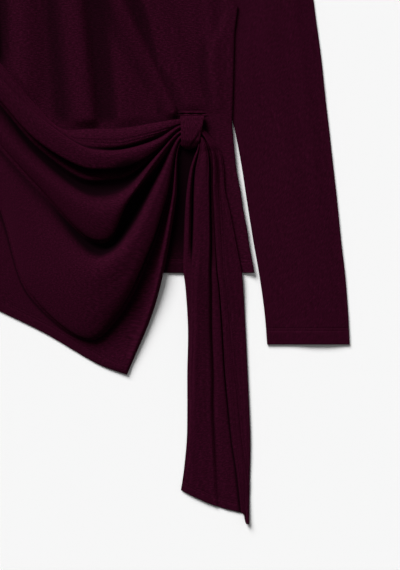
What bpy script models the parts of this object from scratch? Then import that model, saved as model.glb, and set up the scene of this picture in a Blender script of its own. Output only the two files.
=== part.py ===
"""A long-sleeved jersey top laid flat: back, front, two sleeves, a draped overlay
gathered through a loop at the waist, and the tie that hangs from it.

X runs to the wearer's left, Y toward the neck and Z up from the surface it lies on.
All sizes are in millimetres from the middle of the back hem, until a mesh is made of them.
"""
import math

import bpy

MM = 0.001

# Cloth
wall = 1.2          # thickness of the body and sleeve panels
soft_wall = 1.0     # thickness of the overlay and the tie, whose folds are tight
seam = 0.4          # gap between pieces that touch on the real garment

# Body
hem_y = 0.0
underarm_y, underarm_x = 380.0, 211.0
neck_half, shoulder_half = 90.0, 190.0
neck_y, shoulder_tip_y = 600.0, 565.0
front_neck_depth, back_neck_depth = 80.0, 20.0
armhole_bow = 28.0
armhole_steps = 8

# The sleeve's inner edge is tucked under the side of the body from the underarm down.
tuck_lift = 3.6
tuck_ramp = 14.0
tuck_margin = 8.0

# Past the body's hem an upper piece comes down to the surface over this length.
hem_bridge = 70.0

# Loop and tie
loop_left, loop_right = 129.0, 163.0
loop_top, loop_crown = 223.0, 16.0
loop_low_left, loop_low_right = (130.5, 179.5), (149.5, 177.5)
loop_points = 24    # round the loop
tie_lift = 2.0      # how much the tie is raised where it passes through the loop
tie_out_y = 172.0   # where it is out of the loop and down again

body_sides = [  # y, half width
    (0, 234.6), (47, 226.5), (104, 216.8), (154, 208.3), (190, 204.8), (214, 202.8),
    (276, 204.5), (340, 206), (380, 211),
]

# Soft upright folds of the front above the overlay, gone again toward the chest.
front_folds = [  # x at the neck, x at the overlay, half width left, half width right, height
    (-148, -136, 26, 16, 8.0),
    (-100, -90, 26, 30, 5.5),
    (-40, 3, 46, 15, 8.0),
    (30, 52, 30, 40, 3.2),
    (-59, 135, 24, 10, 5.5),
    (2, 162, 30, 34, 4.5),
    (150, 186, 12, 14, 2.5),
]
fold_low_y = 200.0                    # height of the second column
fold_clear, fold_rise = 10.0, 22.0    # where above the overlay the folds start, and their rise
fold_fade_y, fold_fade = 430.0, 90.0

sleeve_sections = [  # outer x, outer y, inner x, inner y, bow toward the body, puff
    (191.2, 565, 207.0, 387.4, 25.5, 0.5),
    (230, 549, 212.8, 379, -4, 1.0),
    (268, 516, 211, 366, -8, 1.8),
    (296, 471, 203.5, 351, -8, 2.4),
    (314, 415, 190, 327, -3, 2.6),
    (323, 356, 184, 297, 0, 2.6),
    (330, 304, 187, 265, 0, 2.6),
    (336, 247, 199.5, 232, 0, 2.6),
    (341.5, 200, 208, 200, 0, 2.6),
    (346.6, 154, 216.7, 154, 0, 2.6),
    (352.3, 104, 224.3, 104, 0, 2.6),
    (358, 47, 233.4, 47, 0, 2.4),
    (363.9, -4, 242.4, -4, 0, 2.4),
    (368, -56, 249.6, -56, 0, 2.2),
    (370.3, -102, 253.4, -102, 0, 2.0),
]

# The overlay is a fan of fold lines. Each line runs from inside the loop to the side seam
# through these stations, and each row below is one line, from the top edge to the free edge.
stations = ("inside", "mouth", "fan", "fall", "corner", "turn", "rise", "flank", "seam")
station_steps = (2, 5, 6, 5, 4, 5, 5, 5)
line_places = {  # (x, y) at each station; at the seam only y, because x follows the side
    "top edge": ((141.4, 216), (129, 218.5), (96, 214), (46, 206), (0, 205),
                 (-40, 205), (-74, 236), (-129, 300), 376),
    "band crest": ((141.4, 213.6), (129, 215.5), (96, 207), (46, 196), (7, 194),
                   (-29, 196), (-74, 231), (-129, 294), 370),
    "band foot": ((141.4, 211.4), (129, 212.6), (96, 197), (49, 182), (17, 180),
                  (-14, 185), (-73, 226), (-129, 287), 364),
    "band shadow": ((141.4, 209.5), (129, 210.2), (96, 192), (49, 177), (19, 175),
                    (-10, 180), (-71, 222), (-129, 281), 358),
    "first swag": ((141.4, 207.5), (129, 207.6), (97, 184), (49, 170), (23, 168),
                   (-3, 172), (-69, 216), (-129, 273), 351),
    "first lip": ((141.4, 205.3), (129, 205.0), (97, 176), (54, 150), (24, 147),
                  (-6, 149), (-71, 186), (-129, 249), 335),
    "first gully": ((141.4, 203.3), (129, 202.6), (97, 171), (51, 129), (20, 124),
                    (-11, 127), (-77, 176), (-129, 238), 323),
    "second swag": ((141.4, 201.2), (129, 200.0), (97, 163), (57, 110), (29, 90),
                    (3, 92), (-71, 144), (-129, 207), 300),
    "second lip": ((141.4, 199.2), (129, 197.8), (97, 155), (55, 100), (28, 49),
                   (4, 47), (-70, 122), (-129, 187), 281),
    "second gully": ((141.4, 197.2), (129, 195.6), (99, 149), (56, 76), (27, 38),
                     (6, 37), (-69, 111), (-129, 176), 269),
    "third swag": ((141.4, 195), (129, 193.2), (101, 125), (66, 53), (37, 21),
                   (6, 9), (-66, 64), (-129, 153), 250),
    "belly": ((141.4, 193.3), (129, 191.3), (104, 118), (73, 43), (46, -7),
              (-1, -31), (-74, 24), (-129, 131), 233),
    "low belly": ((141.4, 191.8), (129, 189.7), (107, 112), (79, 34), (42, -40),
                  (0, -70), (-79, -8), (-129, 114), 219),
    "belly edge": ((141.4, 190.3), (129, 188.2), (109, 108), (83, 30), (39, -57),
                   (0, -92), (-83, -27), (-129, 104), 209),
    "belly foot": ((141.4, 189.2), (129, 187.2), (112, 105), (88, 27), (43.5, -62),
                   (0, -97), (-88, -31), (-133, 99), 202),
    "apron": ((141.4, 187.8), (129, 185.4), (115.5, 103.5), (88, -14), (54, -100),
              (6, -106), (-77, -59), (-129, 30), 97),
    "edge ridge": ((141.4, 186.2), (129, 183.6), (119, 102.5), (90.5, -40), (51.5, -138),
                   (12, -127), (-66, -80), (-129, -44), 12),
    "free edge": ((141.4, 184.4), (129, 181.6), (122.5, 102), (94.5, -41), (52.9, -145),
                  (14, -131), (-64, -86), (-129, -54), 1.5),
}
line_heights = {  # over the front at the loop and at each station from the fan on; crease share
    "top edge": (5.0, 4.0, 3.0, 2.5, 2.5, 4.0, 3.0, 0.4, 0.0),
    "band crest": (6.5, 9.0, 9.0, 9.0, 9.0, 10.0, 7.0, 0.8, 0.0),
    "band foot": (6.5, 9.0, 10.0, 11.0, 12.0, 12.0, 10.0, 1.2, 0.0),
    "band shadow": (5.0, 2.5, 4.0, 9.0, 13.0, 15.0, 14.0, 1.6, 0.5),
    "first swag": (7.0, 15.0, 19.0, 23.0, 25.0, 23.0, 20.0, 2.2, 0.0),
    "first lip": (5.5, 12.0, 17.0, 21.0, 22.0, 19.0, 14.0, 1.6, 0.4),
    "first gully": (3.5, 1.0, 0.8, 0.8, 1.0, 1.5, 2.0, 0.6, 0.3),
    "second swag": (6.5, 19.0, 24.0, 27.0, 27.0, 22.0, 17.0, 2.2, 0.0),
    "second lip": (5.5, 14.0, 22.0, 17.0, 14.0, 13.0, 12.0, 1.8, 0.3),
    "second gully": (3.5, 1.0, 0.8, 3.0, 6.0, 9.0, 10.0, 1.4, 0.3),
    "third swag": (7.0, 20.0, 26.0, 29.0, 28.0, 20.0, 14.0, 2.0, 0.0),
    "belly": (7.8, 20.0, 26.0, 27.0, 27.0, 19.0, 13.0, 1.9, 0.0),
    "low belly": (7.0, 18.5, 23.0, 22.0, 21.0, 16.0, 11.0, 1.7, 0.0),
    "belly edge": (5.5, 15.0, 19.0, 14.0, 13.0, 11.0, 8.0, 1.4, 0.2),
    "belly foot": (4.2, 0.4, 0.4, 0.8, 1.2, 1.2, 1.0, 0.5, 0.4),
    "apron": (4.6, 0.8, 1.2, 1.5, 1.5, 1.2, 0.8, 0.3, 0.0),
    "edge ridge": (5.2, 13.0, 10.0, 5.0, 1.5, 0.8, 0.6, 0.3, 0.0),
    "free edge": (4.0, 8.0, 5.0, 2.2, 0.6, 0.4, 0.3, 0.2, 0.0),
}
lips = {  # share that a lip's underside goes back, and share toward the gully where its pocket begins
    "first lip": (0.14, 0.16), "second lip": (0.10, 0.20), "belly edge": (0.10, 0.45),
}
under_lip, pocket_rise = 0.45, 0.3    # height of the underside as a share, of the pocket in mm
hem_corner = {"apron": 0.3, "edge ridge": 0.9, "free edge": 1.0}   # crease at the corner station

# The tie, from inside the loop to its end hem. Shares run from the left edge to the right.
# The last five columns are heights: the strip, the crown, the brink of the crease, the shelf
# past it, and the flap that is folded back on top.
tie_sections = [  # left x, y, right x, y, gap, ridge, crease, flap, strip, crown, brink, shelf, lap
    (143.0, 188.0, 143.0, 215.0, 0.13, 0.36, 0.56, 0.70, 2.0, 6.5, 5.0, 1.2, 5.0),
    (148.0, 187.5, 151.5, 213.5, 0.14, 0.36, 0.56, 0.70, 3.0, 6.5, 5.5, 1.2, 5.5),
    (154.2, 183.5, 163.0, 203.5, 0.16, 0.36, 0.56, 0.68, 5.0, 8.0, 7.0, 1.2, 7.0),
    (153.5, 177.0, 173.5, 191.5, 0.16, 0.36, 0.56, 0.67, 7.5, 9.5, 8.5, 1.2, 8.0),
    (148.5, 165.0, 186.0, 173.0, 0.14, 0.36, 0.565, 0.68, 9.5, 11.0, 10.0, 1.2, 9.0),
    (142.5, 147.0, 190.6, 150.0, 0.14, 0.38, 0.60, 0.69, 10.5, 12.0, 11.0, 1.4, 9.0),
    (137.8, 118.6, 192.5, 118.6, 0.17, 0.40, 0.62, 0.69, 10.5, 12.0, 11.0, 1.6, 8.5),
    (135.2, 85.7, 200.0, 85.7, 0.175, 0.385, 0.58, 0.65, 9.0, 11.5, 10.5, 1.8, 7.5),
    (134.3, 41.4, 208.6, 41.4, 0.15, 0.33, 0.53, 0.606, 6.0, 10.0, 9.5, 2.2, 6.0),
    (134.2, 0.0, 216.5, 0.0, 0.12, 0.25, 0.471, 0.584, 3.0, 9.5, 7.5, 3.2, 6.0),
    (136.6, -20.0, 218.4, -20.0, 0.10, 0.20, 0.453, 0.59, 2.6, 9.5, 6.5, 3.6, 6.0),
    (140.3, -80.0, 221.7, -80.0, 0.06, 0.15, 0.414, 0.607, 2.4, 9.5, 6.0, 3.8, 6.0),
    (139.3, -141.4, 224.6, -141.4, 0.05, 0.13, 0.435, 0.633, 2.0, 8.0, 5.5, 3.6, 5.8),
    (139.3, -195.7, 227.1, -195.7, 0.05, 0.14, 0.423, 0.675, 2.0, 7.0, 5.0, 2.6, 5.6),
    (138.4, -238.6, 228.6, -238.6, 0.05, 0.16, 0.445, 0.715, 1.5, 4.5, 4.5, 1.2, 4.2),
    (134.3, -281.4, 227.9, -287.0, 0.05, 0.20, 0.504, 0.81, 1.0, 3.2, 3.2, 0.8, 4.5),
    (130.0, -310.0, 226.9, -344.0, 0.05, 0.25, 0.56, 0.89, 0.6, 2.0, 2.0, 0.6, 5.0),
]
tie_steps = (2, 2, 2, 2, 2, 2, 2, 2, 2, 2, 3, 3, 3, 2, 2, 2)
gap_floor, gap_fade, gap_reach = 0.3, 2.6, 4.0   # the groove beside the strip, where the strip is high
crease_foot, flap_under = 0.2, 0.3


def ease(t):
    """A smooth step from 0 to 1."""
    t = min(max(t, 0.0), 1.0)
    return t * t * (3 - 2 * t)


def mix(a, b, t):
    return a + (b - a) * t


def chord(points, i):
    return [b - a for a, b in zip(points[i], points[i + 1])]


def slope(points, k, span, sharp):
    """Slope at point k for the interval span: nearer points count for more, a crease is kept."""
    own = chord(points, span)
    if k in (0, len(points) - 1):
        return own
    before, after = chord(points, k - 1), chord(points, k)
    low, high, length = (math.sqrt(math.hypot(*c)) + 1e-4 for c in (before, after, own))
    run = [(b / low * high + a / high * low) / (low + high) * length for b, a in zip(before, after)]
    return [mix(r, o, sharp[k] if sharp else 0) for r, o in zip(run, own)]


def through(points, place, sharp=()):
    """A point on the smooth curve through points, at a place counted in points."""
    i = min(int(place), len(points) - 2)
    t = place - i
    start, end = slope(points, i, i, sharp), slope(points, i + 1, i, sharp)
    found = []
    for a, b, m, n in zip(points[i], points[i + 1], start, end):
        found.append(a + t * (m + t * (3 * (b - a) - 2 * m - n + t * (m + n - 2 * (b - a)))))
    return tuple(found)


def read_table(rows, key):
    """The second column of a two-column table at a value of the first, with soft corners."""
    soft = 0.3
    for (k0, v0), (k1, v1) in zip(rows, rows[1:]):
        if key <= k1:
            t = max((key - k0) / (k1 - k0), 0)
            return mix(v0, v1, mix(t, ease(t), soft))
    return rows[-1][1]


def side_x(y):
    """Half width of the body at a height, through the armhole to the shoulder tip."""
    if y <= underarm_y:
        return read_table(body_sides, y)
    s = min(max((shoulder_tip_y - y) / (shoulder_tip_y - underarm_y), 0), 1)
    return mix(shoulder_half, underarm_x, s) - armhole_bow * 4 * s * (1 - s)


def sleeve_inner_x(y):
    """X of the sleeve's inner edge at a height."""
    edge = sorted((row[3], row[2]) for row in sleeve_sections)
    return read_table(edge, y)


def tuck_height(x, y):
    """How far the body is lifted where a sleeve lies under its side."""
    over = abs(x) - sleeve_inner_x(y) + tuck_margin + tuck_ramp
    return tuck_lift * ease(over / tuck_ramp) * (1 - ease((y - underarm_y - 10) / 45))


def back_z(x, y):
    return wall / 2 + tuck_height(x, y)


def overlay_top_y(x):
    """Y of the overlay's top edge, or of the loop's top, above a given x."""
    if x > loop_left - 20:
        return loop_top + 10
    edge = [(p[0], p[1]) for p in line_places["top edge"][2:-1]]
    edge.append((-side_x(376), 376))
    return read_table(sorted(edge), x)


def front_z(x, y):
    """Height of the middle of the front's cloth."""
    folds = 0.0
    for x_neck, x_low, left, right, height in front_folds:
        away = x - mix(x_low, x_neck, (y - fold_low_y) / (neck_y - fold_low_y))
        away = abs(away) / (left if away < 0 else right)
        if away < 1:
            folds += height * (0.5 + 0.5 * math.cos(math.pi * away))
    shown = ease((y - overlay_top_y(x) - fold_clear) / fold_rise) * (1 - ease((y - fold_fade_y) / fold_fade))
    return back_z(x, y) + wall + seam + folds * shown


def under_z(x, y):
    """Top of what an upper piece lies on: the front, or the surface past its hem."""
    near = ((0, 0), (-8, 0), (8, 0), (0, 10))
    top = max(front_z(x + dx, max(y + dy, hem_y)) for dx, dy in near) + wall / 2
    return top * ease((y - hem_y + hem_bridge) / hem_bridge)


def new_material(name, colour):
    material = bpy.data.materials.new(name)
    material.use_nodes = True
    shader = material.node_tree.nodes["Principled BSDF"]
    shader.inputs["Base Color"].default_value = (*colour, 1)
    shader.inputs["Roughness"].default_value = 0.85
    shader.inputs["Metallic"].default_value = 0.0
    return material


def add_grid(name, rows, colour, closed=False):
    """A smooth object from rows of points in millimetres, each row as long as the next."""
    mesh = bpy.data.meshes.new(name)
    across = len(rows[0])
    points = [(x * MM, y * MM, z * MM) for row in rows for x, y, z in row]
    faces = []
    for i in range(len(rows) - 1):
        for j in range(across if closed else across - 1):
            k = (j + 1) % across
            faces.append((i * across + j, i * across + k,
                          (i + 1) * across + k, (i + 1) * across + j))
    mesh.from_pydata(points, [], faces)
    mesh.shade_smooth()
    mesh.materials.append(new_material(name + "_jersey", colour))
    piece = bpy.data.objects.new(name, mesh)
    garment.objects.link(piece)
    return piece


def add_wall(piece, thickness, offset):
    """Gives an open sheet its thickness, to one side (-1 or 1) or to both (0)."""
    shell = piece.modifiers.new("cloth", "SOLIDIFY")
    shell.thickness = thickness * MM
    shell.offset = offset
    shell.use_rim = True


def body_columns(step):
    """Shares of the half width where a body panel has a line of points; step is in degrees."""
    neck_share = neck_half / shoulder_half
    half = round(90 / step)
    angles = [a * step for a in range(-half, half + 1)]
    angles = [a for a in angles if not 75 < abs(a) < 90]    # too near the neck point
    middle = [neck_share * math.sin(math.radians(a)) for a in angles]
    side = [mix(neck_share, 1, t) for t in (0.15, 0.29, 0.43, 0.55, 0.67, 0.78, 0.86, 0.93, 1.0)]
    return [-s for s in reversed(side)] + middle + side


def body_top_y(share, neck_depth):
    """Y of the neck or shoulder line at a share of the half width."""
    x = abs(share) * shoulder_half
    if x < neck_half - 1e-6:
        return neck_y - neck_depth * math.cos(math.asin(x / neck_half))
    return mix(neck_y, shoulder_tip_y, (x - neck_half) / (shoulder_half - neck_half))


def body_panel(name, neck_depth, height, step, colour):
    """The back or the front, from the hem up to the neck and shoulders."""
    low_rows, high_rows = 15, armhole_steps
    rows = []
    for i in range(low_rows + high_rows + 1):
        row = []
        for share in body_columns(step):
            if i <= low_rows:
                y = mix(hem_y, underarm_y, i / low_rows)
            else:
                y = mix(underarm_y, body_top_y(share, neck_depth), (i - low_rows) / high_rows)
            x = share * side_x(y)
            row.append((x, y, height(x, y)))
        rows.append(row)
    add_wall(add_grid(name, rows, colour), wall, 0)


def sleeve_ring(section, side, even=0.0):
    """Points round the middle of a flattened sleeve's wall at one section.

    At the armhole they are evenly spaced, to lie point for point along the body's edge.
    """
    outer_x, outer_y, inner_x, inner_y, bow, puff = section
    half = armhole_steps + 1
    radius = (wall + seam) / 2
    width = math.hypot(outer_x - inner_x, outer_y - inner_y)
    ring = []
    for top in (False, True):
        for j in range(half):
            share = j / (half - 1)
            s = share if not top else 1 - share
            s = mix(0.5 - 0.5 * math.cos(math.pi * mix(0.06, 0.94, s)), s, even)
            x = mix(outer_x, inner_x, s) - bow * 4 * s * (1 - s)
            y = mix(outer_y, inner_y, s)
            swell = puff * ease(((1 - s) * width - 26) / 45) * ease(s * width / 35)
            z = wall / 2 + (2 * radius + swell if top else 0)
            ring.append((side * x, y, z))
        # The rounded edge between the lower and the upper wall.
        x, y = (inner_x, inner_y) if not top else (outer_x, outer_y)
        ring.append((side * x, y, wall / 2 + radius))
    return ring if side > 0 else ring[::-1]


def sleeve(name, side, colour):
    rows = []
    for k in range(len(sleeve_sections) - 1):
        steps = 2 if k in (0, 1, 2, 3) else 1
        for step in range(steps):
            place = k + step / steps
            rows.append(sleeve_ring(through(sleeve_sections, place), side, 1 - ease(place / 3)))
    rows.append(sleeve_ring(sleeve_sections[-1], side))
    add_wall(add_grid(name, rows, colour, closed=True), wall, 0)


def overlay_line(name):
    """Points along one fold line of the overlay: x, y and height over the front."""
    knots, sharp = [], []
    for k, (station, place) in enumerate(zip(stations, line_places[name])):
        if station == "seam":
            place = (-(side_x(place) - 1.0), place)
        knots.append((*place, line_heights[name][max(k - 1, 0)]))
        sharp.append(hem_corner.get(name, 0) if station == "corner" else 0)
    line = []
    for k, steps in enumerate(station_steps):
        for step in range(steps):
            line.append(through(knots, k + step / steps, sharp))
    line.append(knots[-1])
    return line


def lip_rows(name, crest, lip, gully):
    """The underside of a lip, tucked back below it, and the start of the pocket behind it."""
    back, ahead = lips[name]
    under, pocket = [], []
    for i, (c, p, g) in enumerate(zip(crest, lip, gully)):
        out = ease((i - station_steps[0]) / station_steps[1])
        under.append((mix(p[0], c[0], back * out), mix(p[1], c[1], back * out), mix(g[2], p[2], under_lip)))
        pocket.append((mix(p[0], g[0], ahead), mix(p[1], g[1], ahead), g[2] + pocket_rise))
    return [under, pocket]


def overlay(name, colour):
    keys = list(line_places)
    lines = [overlay_line(key) for key in keys]
    sharp = [line_heights[key][-1] for key in keys]
    rows = []
    for k, key in enumerate(keys):
        rows.append(lines[k])
        if key in lips:
            rows += lip_rows(key, lines[k - 1], lines[k], lines[k + 1])
        elif k + 1 < len(keys):
            rows.append([through([line[i] for line in lines], k + 0.5, sharp) for i in range(len(lines[k]))])
    for row in rows:
        for i, (x, y, rise) in enumerate(row):
            row[i] = (x, y, under_z(x, y) + seam + soft_wall / 2 + max(rise, 0.1))
    add_wall(add_grid(name, rows, colour), soft_wall, 0)


def tie_row(section):
    """Points across the tie: a strip, a rolled crown, a crease, and a flap folded back on top."""
    (left_x, left_y, right_x, right_y, gap, ridge, crease, flap,
     strip, crown, brink, shelf, lap) = section
    filled = 1 - ease((strip - gap_fade) / gap_reach)
    floor = mix(gap_floor, mix(strip, crown, 0.5), filled)
    across = [  # share of the width, height
        (0.0, 0.3), (gap * 0.25, strip * 0.8), (gap * 0.5, strip), (gap * 0.8, mix(strip, floor, 0.5)),
        (gap, floor), (mix(gap, ridge, 0.3), mix(floor, crown, 0.85)), (ridge, crown),
        (mix(ridge, crease, 0.6), mix(crown, brink, 0.6)), (crease - 0.05, brink),
        (crease - 0.022, brink * 0.45), (crease, crease_foot), (mix(crease, flap, 0.25), shelf),
        (mix(crease, flap, 0.65), shelf * 0.8), (mix(flap, 1, -0.02), flap_under),
        (mix(flap, 1, 0.5), flap_under), (0.975, 0.2), (1.0, 1.5), (0.985, 2.9), (mix(1, flap, 0.3), 3.2),
        (mix(1, flap, 0.65), mix(3.2, lap, 0.6)), (mix(1, flap, 0.88), lap), (flap, lap - 0.5),
    ]
    row = []
    for share, rise in across:
        row.append((mix(left_x, right_x, share), mix(left_y, right_y, share), rise))
    return row


def tie(name, colour):
    rows = []
    for k, steps in enumerate(tie_steps):
        for step in range(steps):
            rows.append(tie_row(through(tie_sections, k + step / steps)))
    rows.append(tie_row(tie_sections[-1]))
    for row in rows:
        for j, (x, y, rise) in enumerate(row):
            lift = tie_lift * ease((y - tie_out_y) / 10)
            row[j] = (x, y, under_z(x, y) + seam + soft_wall / 2 + rise + lift)
    add_wall(add_grid(name, rows, colour), soft_wall, 0)


def loop_ring(t):
    """Points round the middle of the loop's wall, at a share t of the way along it."""
    top_x, low_x = mix(loop_left, loop_right, t), mix(loop_low_left[0], loop_low_right[0], t)
    low_y = mix(loop_low_left[1], loop_low_right[1], t)
    floor = front_z(loop_left, loop_top) + wall / 2 + seam + wall / 2
    ring = []
    for j in range(loop_points):
        a = 2 * math.pi * j / loop_points
        c, s = math.cos(a), math.sin(a)
        share = 0.5 + 0.5 * math.copysign(abs(c) ** 0.5, c)
        level = 0.5 + 0.5 * math.copysign(abs(s) ** 0.5, s)
        ring.append((mix(low_x, top_x, share), mix(low_y, loop_top, share),
                     mix(floor, loop_crown, level)))
    return ring


def waist_loop(name, colour):
    rows = [loop_ring(t / 5) for t in range(6)]
    add_wall(add_grid(name, rows, colour, closed=True), wall, 0)


def stand_on_origin(pieces):
    """Moves the finished pieces so that the middle of their footprint is the origin."""
    depsgraph = bpy.context.evaluated_depsgraph_get()
    corners = []
    for piece in pieces:
        shape = piece.evaluated_get(depsgraph).to_mesh()
        corners += [tuple(v.co) for v in shape.vertices]
    low = [min(c[i] for c in corners) for i in range(3)]
    high = [max(c[i] for c in corners) for i in range(3)]
    shift = (-(low[0] + high[0]) / 2, -(low[1] + high[1]) / 2, -low[2])
    for piece in pieces:
        piece.location = shift
    print("origin shift", [round(v * 1000, 3) for v in shift])


for item in list(bpy.data.objects):
    bpy.data.objects.remove(item, do_unlink=True)
garment = bpy.data.collections.new("draped_jersey_top")
bpy.context.scene.collection.children.link(garment)

body_panel("back", back_neck_depth, back_z, 15, (0.016, 0.0018, 0.006))
body_panel("front", front_neck_depth, front_z, 5, (0.019, 0.0020, 0.008))
sleeve("sleeve_left", 1, (0.018, 0.0018, 0.007))
sleeve("sleeve_right", -1, (0.018, 0.0018, 0.007))
overlay("drape_panel", (0.024, 0.0030, 0.010))
tie("waist_tie", (0.022, 0.0028, 0.010))
waist_loop("waist_loop", (0.032, 0.0048, 0.014))
stand_on_origin(list(garment.objects))
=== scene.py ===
import math
import bpy
import numpy as np
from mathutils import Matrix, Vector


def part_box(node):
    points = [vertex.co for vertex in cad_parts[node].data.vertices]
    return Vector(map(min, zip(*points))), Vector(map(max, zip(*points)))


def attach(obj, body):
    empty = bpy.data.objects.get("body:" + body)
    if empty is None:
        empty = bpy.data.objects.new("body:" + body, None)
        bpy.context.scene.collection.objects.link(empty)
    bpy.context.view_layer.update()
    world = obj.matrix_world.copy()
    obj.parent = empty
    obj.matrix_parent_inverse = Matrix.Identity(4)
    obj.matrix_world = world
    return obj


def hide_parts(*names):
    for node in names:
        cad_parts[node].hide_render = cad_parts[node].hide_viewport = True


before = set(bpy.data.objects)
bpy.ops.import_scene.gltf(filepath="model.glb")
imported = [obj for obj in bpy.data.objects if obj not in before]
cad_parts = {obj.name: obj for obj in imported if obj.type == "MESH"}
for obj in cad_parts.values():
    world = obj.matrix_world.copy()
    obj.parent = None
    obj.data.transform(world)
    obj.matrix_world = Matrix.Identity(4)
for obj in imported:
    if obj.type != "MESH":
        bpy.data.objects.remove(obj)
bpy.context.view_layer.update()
bpy.ops.object.select_all(action="DESELECT")
bpy.context.scene.view_settings.view_transform = "Standard"

# Lengths in the dictionaries are millimetres. X runs to the wearer's left, Y from the middle of
# the back hem toward the neck, Z up from the table.
mm = 0.001
garment = {
    "neckPointY": 600.0, "neckHalf": 90.0, "frontNeckDepth": 80.0, "backNeckDepth": 20.0,
    "shoulderHalf": 190.0, "shoulderTipY": 565.0, "underarmX": 211.0, "underarmY": 380.0,
    "armholeBow": 28.0,
    "wall": 1.2,            # thickness that the layers are spaced for
    "cloth": 1.0,           # thickness of the jersey as shown
    "seam": 0.4,            # space between layers
    "hemDepth": 20.0,       # turned hem of body and overlay
    "cuffDepth": 24.0,      # turned hem of the sleeves
    "twinNeedle": 3.2,      # distance between the two rows of a hem's stitching
}
hemLook = {
    "doubled": 0.45, "stepStart": 1.0, "stepWide": 1.6,   # the doubled cloth's height and its step down
    "firstRow": 1.2,                                      # from the turned edge to the first row of stitches
    "groove": 1.1, "grooveHalf": 1.05,                    # depth and half width of a stitched groove
}
thread = {  # a stitch, the space to the next, half its width, its height and how far off the cloth it lies
    "length": 2.6, "space": 0.6, "half": 0.3, "rise": 0.3, "stand": 0.05,
    "start": 1.0,   # from the edge of the piece to its first stitch
}
layShift = np.array([0.0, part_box("back")[1].y / mm - garment["neckPointY"], 0.0])

bodySides = [  # y, half width
    (0, 234.6), (47, 226.5), (104, 216.8), (154, 208.3), (190, 204.8), (214, 202.8),
    (276, 204.5), (340, 206), (380, 211),
]


def ease(t):
    t = np.clip(t, 0.0, 1.0)
    return t * t * (3 - 2 * t)


def mix(a, b, t):
    return a + (b - a) * t


def readTable(rows, key):
    keys = np.array([row[0] for row in rows], float)
    values = np.array([row[1] for row in rows], float)
    key = np.asarray(key, float)
    i = np.clip(np.searchsorted(keys, key) - 1, 0, len(keys) - 2)
    t = np.clip((key - keys[i]) / (keys[i + 1] - keys[i]), 0, 1)
    eased = 0.3  # part of the run that is eased at each row, so no kink shows
    return mix(values[i], values[i + 1], eased * ease(t) + (1 - eased) * t)


def curveThrough(knots, steps, sharp=None):
    # A smooth run through knots on the first axis; steps gives the samples in each interval.
    # Slopes weigh near knots more, so a short interval stays round. A knot with sharp 1 is a
    # crease: the run meets it at its own slope from either side.
    knots = np.asarray(knots, float)
    last = len(knots) - 1
    sharp = np.zeros((last + 1,) + (1,) * (knots.ndim - 1)) if sharp is None else sharp
    chord = np.diff(knots, axis=0)
    length = np.sqrt(np.linalg.norm(chord, axis=-1, keepdims=True)) + 1e-4
    slope = chord / length
    middle = (slope[:-1] * length[1:] + slope[1:] * length[:-1]) / (length[:-1] + length[1:])
    out = []
    for k in range(last):
        start = chord[k] if k == 0 else mix(middle[k - 1] * length[k], chord[k], sharp[k])
        end = chord[k] if k == last - 1 else mix(middle[k] * length[k], chord[k], sharp[k + 1])
        for step in range(steps[k]):
            t = step / steps[k]
            out.append((2 * t ** 3 - 3 * t ** 2 + 1) * knots[k] + (t ** 3 - 2 * t ** 2 + t) * start
                       + (3 * t ** 2 - 2 * t ** 3) * knots[k + 1] + (t ** 3 - t ** 2) * end)
    out.append(knots[last])
    return np.array(out)


def sideX(y):
    s = np.clip((garment["shoulderTipY"] - y) / (garment["shoulderTipY"] - garment["underarmY"]), 0, 1)
    armhole = mix(garment["shoulderHalf"], garment["underarmX"], s) - garment["armholeBow"] * 4 * s * (1 - s)
    return np.where(y <= garment["underarmY"], readTable(bodySides, y), armhole)


def lumps(x, y, size, seed):
    # Slow, uneven waves: a sum of a few sines, the same on every run.
    rng = np.random.default_rng(seed)
    total, waves = 0, 7
    for k in range(waves):
        turn = rng.uniform(0, 2 * math.pi)
        rate = 2 * math.pi / (size * rng.uniform(0.6, 1.7))
        total = total + np.sin((x * math.cos(turn) + y * math.sin(turn)) * rate + rng.uniform(0, 6.3))
    return total / waves


# Small set of tools for meshes
def lengths(grid, axis):
    steps = np.linalg.norm(np.diff(grid, axis=axis), axis=2)
    total = np.cumsum(steps, axis=axis)
    pad = [(1, 0), (0, 0)] if axis == 0 else [(0, 0), (1, 0)]
    return np.pad(total, pad)


def paintedFoldShade(rise, axis, reach, start, full):
    # How deep each point lies below the folds within reach samples of it, as a share from 0 to 1; it sets
    # painted shade.
    crest, farBelow = rise, -100
    for step in range(1, reach + 1):
        for way in (-step, step):
            moved = np.roll(rise, way, axis=axis)
            edge = [slice(None)] * 2
            edge[axis] = slice(0, step) if way > 0 else slice(way, None)
            moved[tuple(edge)] = farBelow
            crest = np.maximum(crest, moved)
    return ease((crest - rise - start) / (full - start))


def distanceTo(points, line):
    # The distance in plan from each point to a line of points.
    best = np.full(points.shape[:2], 1e9)
    for a, b in zip(line[:-1], line[1:]):
        span = b - a
        t = np.clip(((points - a) @ span) / (span @ span + 1e-9), 0, 1)
        best = np.minimum(best, np.linalg.norm(points - a - t[..., None] * span, axis=2))
    return best


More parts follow.
